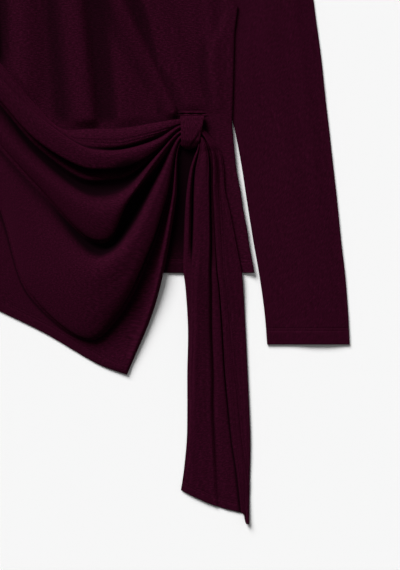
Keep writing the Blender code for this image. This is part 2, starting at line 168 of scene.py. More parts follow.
def gridPiece(name, grid, uv, thickness, closed=False, flip=False, depth=None):
    rows, across = grid.shape[:2]
    points = (grid.reshape(-1, 3) + layShift) * mm
    index = np.arange(rows * across).reshape(rows, across)
    if closed:
        index = np.hstack([index, index[:, :1]])
    faces = np.stack([index[:-1, :-1], index[:-1, 1:], index[1:, 1:], index[1:, :-1]], -1)
    faces = faces.reshape(-1, 4)
    if flip:
        faces = faces[:, ::-1]
    mesh = bpy.data.meshes.new(name)
    mesh.from_pydata(points.tolist(), [], faces.tolist())
    layer = mesh.uv_layers.new(name="cloth")
    if closed:
        uv = np.concatenate([uv, uv[:, :1] + (uv[:, -1:] - uv[:, -2:-1]) + (uv[:, -1:] - uv[:, :1])], 1)
    spots = np.arange(rows * uv.shape[1]).reshape(rows, -1)
    corners = np.stack([spots[:-1, :-1], spots[:-1, 1:], spots[1:, 1:], spots[1:, :-1]], -1).reshape(-1, 4)
    if flip:
        corners = corners[:, ::-1]
    layer.data.foreach_set("uv", (uv.reshape(-1, 2)[corners.ravel()] * mm).ravel())
    # Painted shade: each point's darkening toward the pocket colour, read by the cloth material.
    paintedShade = mesh.attributes.new("paintedFoldShade", "FLOAT", "POINT")
    paintedShade.data.foreach_set("value", np.zeros(rows * across) if depth is None else depth.ravel())
    piece = bpy.data.objects.new(name, mesh)
    bpy.context.scene.collection.objects.link(piece)
    bpy.context.view_layer.objects.active = piece
    piece.select_set(True)
    shell = piece.modifiers.new("cloth", "SOLIDIFY")
    shell.thickness = thickness * mm
    shell.offset = 0
    bpy.ops.object.modifier_apply(modifier=shell.name)
    bpy.ops.object.shade_smooth()
    piece.select_set(False)
    return piece


def finishPiece(piece, material, nodes=()):
    piece.data.materials.clear()
    piece.data.materials.append(material)
    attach(piece, "root")
    if nodes:
        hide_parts(*nodes)
    return piece


# Materials
def linear(hexColour):
    parts = [int(hexColour[i:i + 2], 16) / 255 for i in (1, 3, 5)]
    return [p / 12.92 if p <= 0.04045 else ((p + 0.055) / 1.055) ** 2.4 for p in parts] + [1.0]


def addNode(tree, kind, inputs=None, **settings):
    node = tree.nodes.new(kind)
    for key, value in settings.items():
        setattr(node, key, value)
    for key, value in (inputs or {}).items():
        if isinstance(value, bpy.types.NodeSocket):
            tree.links.new(value, node.inputs[key])
        else:
            node.inputs[key].default_value = value
    return node


jerseyLook = {
    "shade": "#1b030c", "cloth": "#280515", "light": "#390a21",
    "pocket": "#0b0105",                  # painted shade: the colour that folds and hollows are darkened toward, standing in for shade there
    "grainWide": 5.0, "grainHigh": 1.5,   # knit grain, drawn coarser than its 0.5 mm courses
    "crepe": 1.6, "pebbleShare": 0.35,    # size of the crepe's pebbles and their part in the grain
    "grainFine": 3.0, "grainRough": 0.6, "crepeFine": 2.0,   # octaves of the two noises
    "rampFrom": 0.36, "rampTo": 0.64,     # grain values that give the darkest and lightest cloth
    "roughness": 0.9, "specular": 0.02, "sheen": 0.15, "sheenRoughness": 0.5, "sheenTint": "#8c2054",
    "bump": 0.35, "bumpHigh": 0.4,        # the yarn loops stand about this far up
}
threadLook = {
    "cloth": "#2e0a1a", "light": "#390a21", "roughness": 0.7, "specular": 0.05,
    "twist": 0.45, "unevenness": 1.5,     # length of a turn of the plies, and how it wavers
}


def crepeJersey(name, look):
    # Crepe viscose jersey, knitted and matte: a pebbled grain with a faint sheen where it turns away.
    material = bpy.data.materials.new(name)
    material.use_nodes = True
    tree = material.node_tree
    shader = tree.nodes["Principled BSDF"]
    shader.inputs["Roughness"].default_value = look["roughness"]
    shader.inputs["Specular IOR Level"].default_value = look["specular"]
    shader.inputs["Sheen Roughness"].default_value = look["sheenRoughness"]
    shader.inputs["Sheen Tint"].default_value = linear(look["sheenTint"])
    place = addNode(tree, "ShaderNodeTexCoord")
    knit = addNode(tree, "ShaderNodeMapping", {"Vector": place.outputs["UV"], "Scale": (
        1 / (look["grainWide"] * mm), 1 / (look["grainHigh"] * mm), 1)})
    grain = addNode(tree, "ShaderNodeTexNoise", {
        "Vector": knit.outputs[0], "Scale": 1.0, "Detail": look["grainFine"],
        "Roughness": look["grainRough"]})
    pebble = addNode(tree, "ShaderNodeTexNoise", {
        "Vector": place.outputs["UV"], "Scale": 1 / (look["crepe"] * mm), "Detail": look["crepeFine"]})
    both = addNode(tree, "ShaderNodeMix", {
        "Factor": look["pebbleShare"], 2: grain.outputs["Fac"], 3: pebble.outputs["Fac"]})
    ramp = addNode(tree, "ShaderNodeValToRGB", {"Fac": both.outputs[0]})
    ramp.color_ramp.elements[0].position = look["rampFrom"]
    ramp.color_ramp.elements[0].color = linear(look["shade"])
    ramp.color_ramp.elements[1].position = look["rampTo"]
    ramp.color_ramp.elements[1].color = linear(look["light"])
    middle = ramp.color_ramp.elements.new(0.5)
    middle.color = linear(look["cloth"])
    # Painted shade: where the point attribute read here is high, the colour is mixed toward the pocket
    # colour and the sheen is lowered.
    fold = addNode(tree, "ShaderNodeAttribute", attribute_name="paintedFoldShade")
    deep = addNode(tree, "ShaderNodeMix", {
        "Factor": fold.outputs["Fac"], 6: ramp.outputs["Color"], 7: linear(look["pocket"])},
        data_type="RGBA")
    shown = addNode(tree, "ShaderNodeMath", {0: 1.0, 1: fold.outputs["Fac"]}, operation="SUBTRACT")
    sheen = addNode(tree, "ShaderNodeMath", {0: look["sheen"], 1: shown.outputs[0]}, operation="MULTIPLY")
    tree.links.new(sheen.outputs[0], shader.inputs["Sheen Weight"])  # painted shade: sheen taken away where shade is painted into folds
    bump = addNode(tree, "ShaderNodeBump", {
        "Height": both.outputs[0], "Strength": look["bump"], "Distance": look["bumpHigh"] * mm})
    tree.links.new(deep.outputs[2], shader.inputs["Base Color"])
    tree.links.new(bump.outputs["Normal"], shader.inputs["Normal"])
    return material


def spunThread(name, look):
    # Spun polyester sewing thread, two plies twisted: matte, dyed to match and a shade lighter.
    material = bpy.data.materials.new(name)
    material.use_nodes = True
    tree = material.node_tree
    shader = tree.nodes["Principled BSDF"]
    shader.inputs["Roughness"].default_value = look["roughness"]
    shader.inputs["Specular IOR Level"].default_value = look["specular"]
    place = addNode(tree, "ShaderNodeTexCoord")
    bandLength = 2 * math.pi / 20  # one band of the wave node at a scale of 1
    twist = addNode(tree, "ShaderNodeTexWave", {
        "Vector": place.outputs["Object"], "Scale": bandLength / (look["twist"] * mm),
        "Distortion": look["unevenness"]}, bands_direction="DIAGONAL")
    ply = addNode(tree, "ShaderNodeMix", {
        "Factor": twist.outputs["Fac"], 6: linear(look["cloth"]), 7: linear(look["light"])},
        data_type="RGBA")
    tree.links.new(ply.outputs[2], shader.inputs["Base Color"])
    return material


jersey = crepeJersey("crepeJersey", jerseyLook)
sewing = spunThread("spunThread", threadLook)
print("materials ready")

# The sleeves' flattened tubes; the body lies over their inner edges from the underarm down.
sleeves = {
    "sections": [  # outer x, outer y, inner x, inner y, bow toward the body, puff
        (189.6, 565.5, 208.6, 383.2, 27.9, 0.5),
        (230, 549, 209.4, 378.5, -4, 1.0),
        (268, 516, 206.5, 364, -8, 1.8),
        (296, 471, 201, 349, -8, 2.4),
        (314, 415, 190, 327, -3, 2.6),
        (323, 356, 184, 297, 0, 2.6),
        (330, 304, 187, 265, 0, 2.6),
        (336, 247, 199.5, 232, 0, 2.6),
        (341.5, 200, 208, 200, 0, 2.6),
        (346.6, 154, 216.7, 154, 0, 2.6),
        (352.3, 104, 224.3, 104, 0, 2.6),
        (358, 47, 233.4, 47, 0, 2.4),
        (363.9, -4, 242.4, -4, 0, 2.4),
        (368, -56, 249.6, -56, 0, 2.2),
        (370.3, -102, 253.4, -102, 0, 2.0),
    ],
    "softFolds": (  # share of the width, half width as a share, height
        (0.74, 0.055, 2.2), (0.47, 0.10, 1.6), (0.2, 0.07, 1.3)),
    "softFoldHigh": 200, "softFoldLeast": 0.35,  # full height this far up, and their share of it at the cuff
    "cuffCalm": 40,                           # wrinkles fade toward the cuff over this length
    "wrinkles": ((70, 5, 0.5), (26, 6, 0.15)),  # size, seed, height
    "wrinkleInset": (26, 30),                 # flat beside the body, then full over this width
    "puffInset": (26, 45, 35),                # flat at the inner edge, its ramp, and the outer edge's ramp
    "edgeGather": 0.03,                       # the part of a half turn that the rounded edges take
    "samples": 12, "cuffSamples": 44, "around": 44, "flat": (0.30, 0.64), "area": 0.175,
}
tuck = {"lift": 3.6, "ramp": 14.0, "margin": 8.0, "clear": 10.0, "fade": 45.0}


def sleeveInnerX(y):
    return readTable(sorted((row[3], row[2]) for row in sleeves["sections"]), y)


def tuckHeight(x, y):
    over = np.abs(x) - sleeveInnerX(y) + tuck["margin"] + tuck["ramp"]
    above = (y - garment["underarmY"] - tuck["clear"]) / tuck["fade"]
    return tuck["lift"] * ease(over / tuck["ramp"]) * (1 - ease(above))


def hemRelief(distance, depth, face=1):
    # A turned hem: doubled cloth, with a groove along each row of the twin-needle stitching.
    # face is 1 where the outside looks up, and -1 where it looks down at the table.
    rise = hemLook["doubled"] * (1 - ease((distance - depth + hemLook["stepStart"]) / hemLook["stepWide"]))
    for row in hemRows(depth):
        rise = rise - face * hemLook["groove"] * np.exp(-((distance - row) / hemLook["grooveHalf"]) ** 2)
    return rise


def hemRows(depth):
    return depth - hemLook["firstRow"], depth - hemLook["firstRow"] - garment["twinNeedle"]


def sewRow(grid, away, distance, columns, face=1):
    # Stitches where the distance field away has one value, found column by column.
    line = []
    for k in columns:
        order = np.argsort(away[:, k])
        if away[order[0], k] < distance < away[order[-1], k]:
            line.append([np.interp(distance, away[order, k], grid[order, k, axis])
                         for axis in range(3)])
    return stitchLine(np.array(line), face)


def stitchLine(line, face=1):
    # Each stitch is a flattened bead of thread that dips into the cloth at both ends.
    run = np.concatenate([[0], np.cumsum(np.linalg.norm(np.diff(line, axis=0), axis=1))])
    stitches = []
    up = np.array([0, 0, face * (garment["cloth"] / 2 + thread["stand"])])
    crown = np.array([0, 0, face * thread["rise"]])
    pitch = thread["length"] + thread["space"]
    for start in np.arange(thread["start"], run[-1] - thread["length"], pitch):
        places = start + thread["length"] * np.array([0, 0.3, 0.7, 1])
        at = np.stack([np.interp(places, run, line[:, axis]) for axis in range(3)], 1)
        way = at[-1] - at[0]
        aside = np.array([-way[1], way[0], 0.0]) / (math.hypot(way[0], way[1]) + 1e-6)
        aside = aside * thread["half"] * face
        stitches.append(up + np.array([
            at[0] - crown, at[1] + aside, at[1] + crown, at[1] - aside,
            at[2] + aside, at[2] + crown, at[2] - aside, at[3] - crown]))
    return stitches


def sewPiece(name, stitches):
    one = [(0, 2, 1), (0, 3, 2), (1, 2, 5, 4), (2, 3, 6, 5), (4, 5, 7), (5, 6, 7), (0, 1, 4, 7, 6, 3)]
    points = np.concatenate(stitches) + layShift
    faces = [tuple(8 * k + corner for corner in face) for k in range(len(stitches)) for face in one]
    mesh = bpy.data.meshes.new(name)
    mesh.from_pydata((points * mm).tolist(), [], faces)
    piece = bpy.data.objects.new(name, mesh)
    bpy.context.scene.collection.objects.link(piece)
    return finishPiece(piece, sewing)


def makeSleeve(name, side, node):
    table = np.array(sleeves["sections"], float)
    steps = [sleeves["samples"]] * (len(table) - 1)
    steps[-1] = sleeves["cuffSamples"]
    sections = curveThrough(table, steps)
    place = np.concatenate([np.arange(len(table) - 1).repeat(steps)
                            + np.concatenate([np.arange(n) / n for n in steps]), [len(table) - 1]])
    half, gather = sleeves["around"], sleeves["edgeGather"]
    flatEdge, innerRamp, outerRamp = sleeves["puffInset"]
    radius = (garment["wall"] + garment["seam"]) / 2
    rows = []
    for section, k in zip(sections, place):
        outerX, outerY, innerX, innerY, bow, puff = section
        width = math.hypot(outerX - innerX, outerY - innerY)
        even = 1 - ease(k / 3)  # evenly spaced at the armhole, closer at the edges further down
        parts = []
        for top in (False, True):
            share = np.linspace(0, 1, half)
            s = share if not top else 1 - share
            s = mix(0.5 - 0.5 * np.cos(math.pi * mix(gather, 1 - gather, s)), s, even)
            x = mix(outerX, innerX, s) - bow * 4 * s * (1 - s)
            y = mix(outerY, innerY, s)
            swell = puff * ease(((1 - s) * width - flatEdge) / innerRamp) * ease(s * width / outerRamp)
            z = garment["wall"] / 2 + (2 * radius + swell if top else 0 * s)
            parts.append(np.stack([x, y, z], 1))
            edge = np.array([[innerX, innerY, 0]]) if not top else np.array([[outerX, outerY, 0]])
            edge[0, 2] = garment["wall"] / 2 + radius
            parts.append(edge)
        rows.append(np.concatenate(parts))
    grid = np.array(rows)
    cuffAway = np.linalg.norm(grid - grid[-1:], axis=2)
    ups = np.zeros(grid.shape[1])
    ups[half + 1:2 * half + 1] = 1
    x, y = grid[:, :, 0].copy(), grid[:, :, 1]
    grid[:, :, 2] += hemRelief(cuffAway, garment["cuffDepth"]) * ups
    grid[:, :, 2] += (hemRelief(cuffAway, garment["cuffDepth"], -1) - hemLook["doubled"]) * (1 - ups) * (
        cuffAway < garment["cuffDepth"] + 3)
    wrinkle = sum(lumps(x, y, size, seed) * rise for size, seed, rise in sleeves["wrinkles"])
    share = (sections[:, 0:1] - x) / (sections[:, 0:1] - sections[:, 2:3])
    upSleeve = mix(sleeves["softFoldLeast"], 1, ease(y / sleeves["softFoldHigh"]))
    for middle, spread, rise in sleeves["softFolds"]:
        wrinkle = wrinkle + rise * np.exp(-((share - middle) / spread) ** 2) * upSleeve
    inset, over = sleeves["wrinkleInset"]
    calm = ease((x - sleeveInnerX(y) - inset) / over) * ease(cuffAway / sleeves["cuffCalm"])
    grid[:, :, 2] += wrinkle * ups * calm
    grid[:, :, 0] *= side
    uv = np.stack([lengths(grid, 1), lengths(grid, 0)], 2)
    piece = gridPiece(name, grid, uv, garment["cloth"], closed=True, flip=side < 0)
    finishPiece(piece, jersey, [node])
    sewn = []
    for row in hemRows(garment["cuffDepth"]):
        sewn += sewRow(grid, cuffAway, row, range(half + 2, 2 * half))
        sewn += sewRow(grid, cuffAway, row, range(1, half - 1), -1)
    stitches = sewPiece(name + "Stitches", sewn)


makeSleeve("sleeveLeft", 1, "sleeve_left")
makeSleeve("sleeveRight", -1, "sleeve_right")
print("sleeves laid")

# The overlay: a fan of fold lines from inside the loop to the side seam.
overlay = {
    "cloth": 0.9, "wall": 1.0,
    "stations": ("inside", "mouth", "fan", "fall", "corner", "turn", "rise", "flank", "seam"),
    "along": (6, 24, 28, 24, 18, 24, 22, 18),
    "across": 7, "hemAcross": (14, 14, 24, 10),   # finer rows where a hem's grooves lie
    "bandWide": (8, 10, 20, 25, 28, 27, 32, 32, 30),   # top hem along the rows, at each station
    "lowHem": 16.0,
    "paintedFoldShade": (10, 6.0, 18.0),   # painted shade in folds: how many rows it looks over, the depth where it starts and is full
    "paintedPocketShade": ((51, 151, 20, 24, 9, 0.9),),  # painted shade spots in the pockets: x, y, degrees, half length, half width, darkness
    "paintedCreaseShade": {  # painted shade along a line's crease: its darkness and its reach in rows
        "belly foot": (0.75, 1.8), "first gully": (0.9, 3.4),
        "second gully": (0.6, 2.5), "band shadow": (0.25, 1.8),
    },
    "creaseShadeStart": (10, 25),        # samples from the loop where the painted crease shade begins, and its ramp
    "lines": {  # (x, y) at each station; at the seam only y, because x follows the side
        "top edge": ((141.4, 216), (129, 218.5), (96, 214), (46, 206), (0, 205),
                     (-40, 205), (-74, 236), (-129, 300), 376),
        "band crest": ((141.4, 213.6), (129, 215.5), (96, 207), (46, 196), (7, 194),
                       (-29, 196), (-74, 231), (-129, 294), 370),
        "band foot": ((141.4, 211.4), (129, 212.6), (96, 197), (49, 182), (17, 180),
                      (-14, 185), (-73, 226), (-129, 287), 364),
        "band shadow": ((141.4, 209.5), (129, 210.2), (96, 192), (49, 177), (19, 175),
                        (-10, 180), (-71, 222), (-129, 281), 358),
        "first swag": ((141.4, 207.5), (129, 207.6), (97, 184), (49, 170), (23, 168),
                       (-3, 172), (-69, 216), (-129, 273), 351),
        "first lip": ((141.4, 205.3), (129, 205.0), (97, 176), (54, 150), (24, 147),
                      (-6, 149), (-71, 186), (-129, 249), 335),
        "first gully": ((141.4, 203.3), (129, 202.6), (97, 171), (51, 129), (20, 124),
                        (-11, 127), (-77, 176), (-129, 238), 323),
        "second swag": ((141.4, 201.2), (129, 200.0), (97, 163), (57, 110), (29, 90),
                        (3, 92), (-71, 144), (-129, 207), 300),
        "second lip": ((141.4, 199.2), (129, 197.8), (97, 155), (55, 100), (28, 49),
                       (4, 47), (-70, 122), (-129, 187), 281),
        "second gully": ((141.4, 197.2), (129, 195.6), (99, 149), (56, 76), (27, 38),
                         (6, 37), (-69, 111), (-129, 176), 269),
        "third swag": ((141.4, 195), (129, 193.2), (101, 125), (66, 53), (37, 21),
                       (6, 9), (-66, 64), (-129, 153), 250),
        "belly": ((141.4, 193.3), (129, 191.3), (104, 118), (73, 43), (46, -7),
                  (-1, -31), (-74, 24), (-129, 131), 233),
        "low belly": ((141.4, 191.8), (129, 189.7), (107, 112), (79, 34), (42, -40),
                      (0, -70), (-79, -8), (-129, 114), 219),
        "belly edge": ((141.4, 190.3), (129, 188.2), (109, 108), (83, 30), (39, -57),
                       (0, -92), (-83, -27), (-129, 104), 209),
        "belly foot": ((141.4, 189.2), (129, 187.2), (112, 105), (88, 27), (43.5, -62),
                       (0, -97), (-88, -31), (-133, 99), 202),
        "apron": ((141.4, 187.8), (129, 185.4), (115.5, 103.5), (88, -14), (54, -100),
                  (6, -106), (-77, -59), (-129, 30), 97),
        "edge ridge": ((141.4, 186.2), (129, 183.6), (119, 102.5), (90.5, -40), (51.5, -138),
                       (12, -127), (-66, -80), (-129, -44), 12),
        "free edge": ((141.4, 184.4), (129, 181.6), (122.5, 102), (94.5, -41), (52.9, -145),
                      (14, -131), (-64, -86), (-129, -54), 1.5),
    },
    "heights": {  # over the front: loop, fan, fall, corner, turn, rise, flank, seam; crease
        "top edge": (5.0, 4.0, 3.0, 2.5, 2.5, 4.0, 3.0, 0.4, 0.0),
        "band crest": (6.5, 9.0, 9.0, 9.0, 9.0, 10.0, 7.0, 0.8, 0.0),
        "band foot": (6.5, 9.0, 10.0, 11.0, 12.0, 12.0, 10.0, 1.2, 0.0),
        "band shadow": (5.0, 2.5, 4.0, 9.0, 13.0, 15.0, 14.0, 1.6, 0.5),
        "first swag": (7.0, 15.0, 19.0, 23.0, 25.0, 23.0, 20.0, 2.2, 0.0),
        "first lip": (5.5, 12.0, 17.0, 21.0, 22.0, 19.0, 14.0, 1.6, 0.4),
        "first gully": (3.5, 1.0, 0.8, 0.8, 1.0, 1.5, 2.0, 0.6, 0.3),
        "second swag": (6.5, 19.0, 24.0, 27.0, 27.0, 22.0, 17.0, 2.2, 0.0),
        "second lip": (5.5, 14.0, 22.0, 17.0, 14.0, 13.0, 12.0, 1.8, 0.3),
        "second gully": (3.5, 1.0, 0.8, 3.0, 6.0, 9.0, 10.0, 1.4, 0.3),
        "third swag": (7.0, 20.0, 26.0, 29.0, 28.0, 20.0, 14.0, 2.0, 0.0),
        "belly": (7.8, 20.0, 26.0, 27.0, 27.0, 19.0, 13.0, 1.9, 0.0),
        "low belly": (7.0, 18.5, 23.0, 22.0, 21.0, 16.0, 11.0, 1.7, 0.0),
        "belly edge": (5.5, 15.0, 19.0, 14.0, 13.0, 11.0, 8.0, 1.4, 0.2),
        "belly foot": (4.2, 0.4, 0.4, 0.8, 1.2, 1.2, 1.0, 0.5, 0.4),
        "apron": (4.6, 0.8, 1.2, 1.5, 1.5, 1.2, 0.8, 0.3, 0.0),
        "edge ridge": (5.2, 13.0, 10.0, 5.0, 1.5, 0.8, 0.6, 0.3, 0.0),
        "free edge": (4.0, 8.0, 5.0, 2.2, 0.6, 0.4, 0.3, 0.2, 0.0),
    },
    "lips": {  # how far each lip's underside goes back, where its pocket begins, inner fold's height
        "first lip": (0.14, 0.16, 6.5), "second lip": (0.10, 0.20, 0.0), "belly edge": (0.10, 0.45, 0.0),
    },
    "underLip": 0.45, "pocketFloor": 0.3,    # a lip's underside as a share of its height, its pocket's floor
    "least": 0.1,                            # the cloth never lies lower than this over the front
    "innerFold": (0.55, 94, 17),  # its share from lip to gully, its middle and reach along the fold
    "hemCorner": {"apron": 0.3, "edge ridge": 0.9, "free edge": 1.0},
    "sewnBefore": (12, 20), "hemReach": 40,   # samples that the two hems' rows start early
    "flat": (0.44, 0.50), "area": 0.15,
}
# The loop's dictionary stands before the body, whose folds and ridges keep to the loop's edges.
loopShape = {
    "left": 129.0, "top": 223.0,
    "sides": (  # y, left x, right x, height of its crown
        (176, 132.5, 150.0, 10.5), (181, 131.2, 153.5, 15.0), (188, 130.6, 156.5, 17.5),
        (203, 130.2, 159.5, 16.8), (223, 129, 163, 12.5)),
    "low": 176.5, "lowEnds": 5.0,               # bottom edge, and how much higher it is at its sides
    "turned": (148.1, 187.4, 0.82, -0.575),     # a point of the strap's turned side, and its direction
    "turnedDrop": 1.8, "turnedGroove": 0.6, "sideDrop": 0.8,
    "roundAlong": 0.62, "roundUp": 0.55,        # how square the flat tube's section is; 1 is an ellipse
    "rows": 40, "around": 96, "flat": (0.036, 0.11),
}

body = {
    "folds": [  # x at the neck, x at the overlay, half width left, half width right, height
        (-148, -136, 26, 16, 8.0),
        (-100, -90, 26, 30, 5.5),
        (-40, 3, 46, 15, 9.5),
        (30, 52, 30, 40, 3.2),
        (-59, 135, 24, 9, 7.5),
        (2, 162, 30, 34, 4.5),
        (150, 186, 12, 14, 2.5),
    ],
    "foldFoot": 200.0, "foldStart": 16.0,   # the folds' lower y, and the run in which they rise
    "foldEnd": (430.0, 90.0),               # where they start to fade, and over what length
    "ridges": (224.9, 228.6), "ridgeSpan": (125, 166),  # stitched where the loop is caught in
    "ridgeRise": 2.2, "ridgeHalf": 1.1, "ridgeWaver": (0.6, 2.1),
    "paintedShade": {  # painted shade on the front between overlay and tie, and painted shade spots: x, y, half sizes, darkness
        "between": (94, 160), "low": 8, "high": 186, "darkness": (0.5, 0.97),
        "spots": ((165, 205, 6, 11, 0.85), (122, 222, 9, 6, 0.6), (-131, 325, 12, 60, 0.85)),
        # painted shade in a band above the overlay's top edge, and its width
        "edge": 0.55, "edgeShadeWide": 9.0,
        # painted shade in the front's fold valleys: strength, depth settings and its start above the overlay
        "valleyShade": 0.7, "valleyShadeDepth": (7, 1.5, 11.0), "valleyShadeStart": 20.0,
    },
    "backWaver": (0.3, 90, 11), "backWaverFrom": 60.0,   # height, size and seed of the back's soft waves
    "neckHem": 14.0, "hemRowsTo": 26, "rowsUp": (90, 46), "columns": (60, 40),
    "backFlat": (0.47, 0.60), "backArea": 0.245, "frontFlat": (0.47, 0.60), "frontArea": 0.238,
}


def overlayTopY(x):
    edge = [(p[0], p[1]) for p in overlay["lines"]["top edge"][2:-1]]
    edge.append((-float(sideX(376.0)), 376.0))
    return np.where(x > loopShape["left"] - 6, loopShape["top"] + 3, readTable(sorted(edge), x))


def backZ(x, y):
    return garment["wall"] / 2 + tuckHeight(x, y)


def frontZ(x, y):
    folds = 0.0
    for xNeck, xLow, left, right, height in body["folds"]:
        away = x - mix(xLow, xNeck, (y - body["foldFoot"]) / (garment["neckPointY"] - body["foldFoot"]))
        away = np.clip(np.abs(away) / np.where(away < 0, left, right), 0, 1)
        folds = folds + height * (0.5 + 0.5 * np.cos(math.pi * away))
    fadeY, fadeOver = body["foldEnd"]
    shown = ease((y - overlayTopY(x) + 1) / body["foldStart"]) * (1 - ease((y - fadeY) / fadeOver))
    return backZ(x, y) + garment["wall"] + garment["seam"] + folds * shown


hemBridge = 70.0  # past the base hem the overlay and tie reach the table over this length


def underZ(x, y):
    onFront = frontZ(x, np.maximum(y, 0)) + garment["wall"] / 2
    return onFront * ease((y + hemBridge) / hemBridge)


def bodyTopY(share, neckDepth):
    x = np.abs(share) * garment["shoulderHalf"]
    neck = garment["neckPointY"] - neckDepth * np.sqrt(np.clip(1 - (x / garment["neckHalf"]) ** 2, 0, 1))
    shoulder = mix(garment["neckPointY"], garment["shoulderTipY"],
                   (x - garment["neckHalf"]) / (garment["shoulderHalf"] - garment["neckHalf"]))
    return np.where(x < garment["neckHalf"] - 1e-6, neck, shoulder)


def fromNeck(x, y, neckDepth):
    # Distance from the neck's half ellipse, to first order.
    wide, deep = x / garment["neckHalf"], (y - garment["neckPointY"]) / neckDepth
    out = np.sqrt(wide ** 2 + deep ** 2) + 1e-6
    steep = np.hypot(wide / garment["neckHalf"], deep / neckDepth) / out
    return (out - 1) / (steep + 1e-9)


def bodyPanel(name, neckDepth, height, node, fine):
    neckShare = garment["neckHalf"] / garment["shoulderHalf"]
    neckColumns, sideColumns = (int(count * fine) for count in body["columns"])
    lowRows, upRows = (int(count * fine) for count in body["rowsUp"])
    middle = neckShare * np.sin(np.radians(np.linspace(-90, 90, neckColumns)))
    side = mix(neckShare, 1, np.linspace(0, 1, sideColumns))[1:]
    shares = np.concatenate([-side[::-1], middle, side])
    hem = np.arange(0, body["hemRowsTo"], 1.0)
    low = np.linspace(body["hemRowsTo"], garment["underarmY"], lowRows)
    ridges = np.arange(min(body["ridges"]) - 4, max(body["ridges"]) + 4, 0.6)
    low = np.sort(np.concatenate([low[(low < ridges[0] - 1) | (low > ridges[-1] + 1)], ridges]))
    up = np.linspace(0, 1, upRows)[1:]
    top = bodyTopY(shares, neckDepth)
    rows = [np.full(len(shares), y) for y in np.concatenate([hem, low])]
    rows += [mix(garment["underarmY"], top, t) for t in up]
    y = np.array(rows)
    x = shares[None, :] * sideX(y)
    front = node == "front"
    face = 1 if front else -1

    def lie(x, y):
        z = height(x, y) + hemRelief(y, garment["hemDepth"], face)
        return z + hemRelief(fromNeck(x, y, neckDepth), body["neckHem"], face)

    z = lie(x, y)
    if front:
        caught = ease((x - body["ridgeSpan"][0]) / 3) * ease((body["ridgeSpan"][1] - x) / 3)
        waver, wave = body["ridgeWaver"]
        for ridgeY in body["ridges"]:
            ridge = body["ridgeRise"] + waver * np.sin(x / wave + ridgeY)
            z = z + ridge * caught * np.exp(-((y - ridgeY) / body["ridgeHalf"]) ** 2)
    else:
        rise, size, seed = body["backWaver"]
        z = z + rise * (1 + lumps(x, y, size, seed)) * ease(y / body["backWaverFrom"])
    grid = np.stack([x, y, z], 2)
    # Painted shade on the front only: between overlay and tie, in the folds' valleys, at spots and above the
    # overlay's top edge.
    paintedShade = body["paintedShade"]
    leftX, rightX = paintedShade["between"]
    depth = ease((x - leftX) / 6) * ease((rightX - x) / 8) * ease((paintedShade["high"] - y) / 6)
    depth = depth * mix(*paintedShade["darkness"], ease((y - paintedShade["low"]) / 50))
    aboveOverlay = y - overlayTopY(x)
    valleyShade = paintedFoldShade(height(x, y), 1, *paintedShade["valleyShadeDepth"]) * ease(aboveOverlay / paintedShade["valleyShadeStart"])
    depth = np.maximum(depth, paintedShade["valleyShade"] * valleyShade)
    for atX, atY, wide, high, dark in paintedShade["spots"]:
        depth = np.maximum(depth, dark * np.exp(-((x - atX) / wide) ** 2 - ((y - atY) / high) ** 2))
    beside = ease((x - 10) / 110) * ease((loopShape["left"] + 5 - x) / 5)
    edge = paintedShade["edge"] * beside * np.exp(-(aboveOverlay / paintedShade["edgeShadeWide"]) ** 2)
    depth = np.maximum(depth, edge)
    piece = gridPiece(name, grid, grid[:, :, :2], garment["cloth"], depth=depth * front)
    finishPiece(piece, jersey, [node])
    sewn = []
    for row in hemRows(garment["hemDepth"]):
        run = np.linspace(-float(sideX(row)) + 1, float(sideX(row)) - 1, 200)
        level = np.full(len(run), row)
        sewn += stitchLine(np.stack([run, level, lie(run, level)], 1), face)
    for row in hemRows(body["neckHem"]):
        turn = np.linspace(-1, 1, 160) * math.pi / 2
        x, y = garment["neckHalf"] * np.sin(turn), -neckDepth * np.cos(turn)
        out = np.stack([x / garment["neckHalf"] ** 2, y / neckDepth ** 2])
        x, y = np.stack([x, y]) + out / np.linalg.norm(out, axis=0) * row
        y = y + garment["neckPointY"]
        along = (np.abs(x) - garment["neckHalf"]) / (garment["shoulderHalf"] - garment["neckHalf"])
        kept = y < mix(garment["neckPointY"], garment["shoulderTipY"], np.clip(along, 0, 1)) - 1
        x, y = x[kept], y[kept]
        sewn += stitchLine(np.stack([x, y, lie(x, y)], 1), face)
    stitches = sewPiece(name + "Stitches", sewn)


bodyPanel("backPanel", garment["backNeckDepth"], backZ, "back", 0.6)
bodyPanel("frontPanel", garment["frontNeckDepth"], frontZ, "front", 1.0)
print("body laid")


